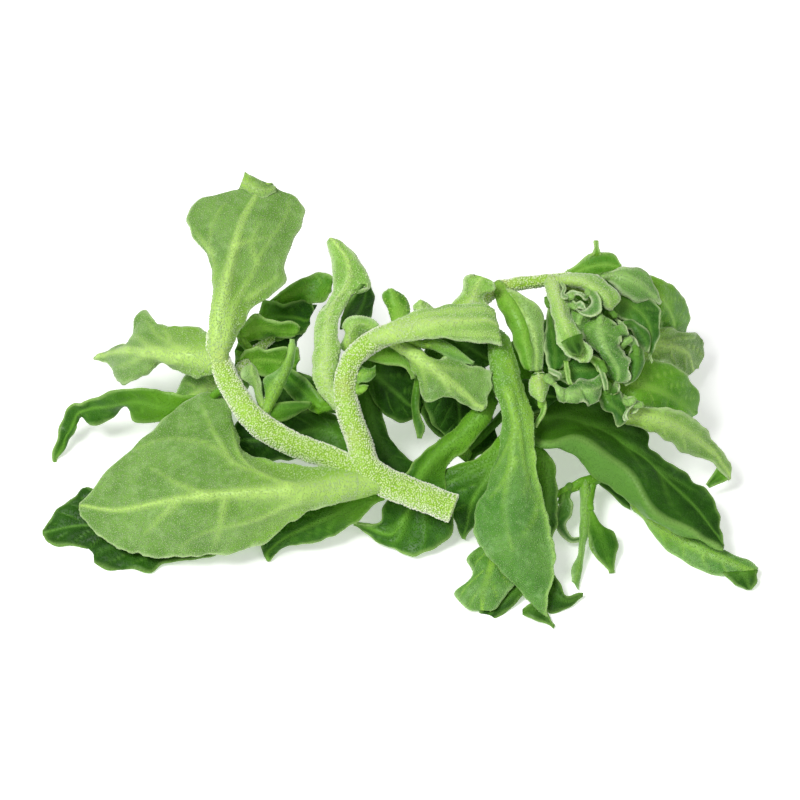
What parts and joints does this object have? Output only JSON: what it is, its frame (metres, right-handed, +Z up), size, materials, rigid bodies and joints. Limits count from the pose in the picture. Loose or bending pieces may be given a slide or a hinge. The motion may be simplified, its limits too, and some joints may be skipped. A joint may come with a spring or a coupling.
{
  "type": "ice plant sprig",
  "caption": "Much-branched cut sprig of ice plant lying face down, with fleshy arching stems, broad wavy leaves and a frilly rosette of young leaves.",
  "frame": {"origin": "on the table, under the middle of the box round the sprig", "axes": "+X along the sprig, from the broad left-hand leaves to the rosette; +Y away from the camera; +Z up"},
  "size_m": [0.1842, 0.1137, 0.0556],
  "materials": {
    "stem_skin": "moist and glossy, beaded with clear bladder cells",
    "leaf_pale": "underside of a leaf, satin, sage green with pale veins",
    "leaf_bright": "young leaf, satin, fresh green",
    "leaf_dark": "upper face of a leaf, satin, deep green",
    "leaf_rosette": "crinkled young leaves with pale rims, satin"
  },
  "bodies": {
    "root": {"stem_main": "stem_skin", "stem_left": "stem_skin", "stem_arch": "stem_skin", "stem_low": "stem_skin", "shoot_left_small": "leaf_pale", "leaf_front_left": "leaf_pale", "leaf_hanging_front": "leaf_pale", "leaf_flare": "leaf_pale", "leaf_small_curled": "leaf_pale", "leaf_finger": "leaf_pale", "leaf_bump": "leaf_pale", "leaf_left": "leaf_pale", "leaf_upright_left": "leaf_pale", "leaf_left_tucked": "leaf_pale", "leaf_fleshy_upright": "leaf_pale", "leaf_crown_pale": "leaf_pale", "leaf_side_pale": "leaf_pale", "leaf_right_low": "leaf_pale", "shoot_left_waves": "leaf_bright", "shoot_low": "leaf_bright", "shoot_small": "leaf_bright", "leaf_under_cut": "leaf_bright", "leaf_under_front": "leaf_bright", "leaf_hanging_back": "leaf_bright", "leaf_arch_lower": "leaf_bright", "leaf_arch_drop": "leaf_bright", "leaf_left_wavy": "leaf_bright", "leaf_stem_side": "leaf_bright", "leaf_crown_top": "leaf_bright", "leaf_crown_side": "leaf_bright", "leaf_side_bright": "leaf_bright", "leaf_side_long": "leaf_bright", "leaf_strap_left": "leaf_bright", "leaf_strap_right": "leaf_bright", "leaf_foot_right": "leaf_bright", "leaf_foot_behind": "leaf_bright", "leaf_foot_centre": "leaf_bright", "leaf_foot_left": "leaf_bright", "leaf_foot_side": "leaf_bright", "leaf_under_arm": "leaf_dark", "leaf_ring": "leaf_dark", "leaf_inner_back": "leaf_dark", "leaf_inner_right": "leaf_dark", "leaf_inner_top": "leaf_dark", "leaf_ground_left": "leaf_dark", "leaf_well_left": "leaf_dark", "leaf_well_back": "leaf_dark", "leaf_right_long": "leaf_dark", "leaf_right_under": "leaf_dark", "leaf_back_right": "leaf_dark", "leaf_back_low": "leaf_dark", "rosette_heart": "leaf_rosette"}
  },
  "joints": []
}
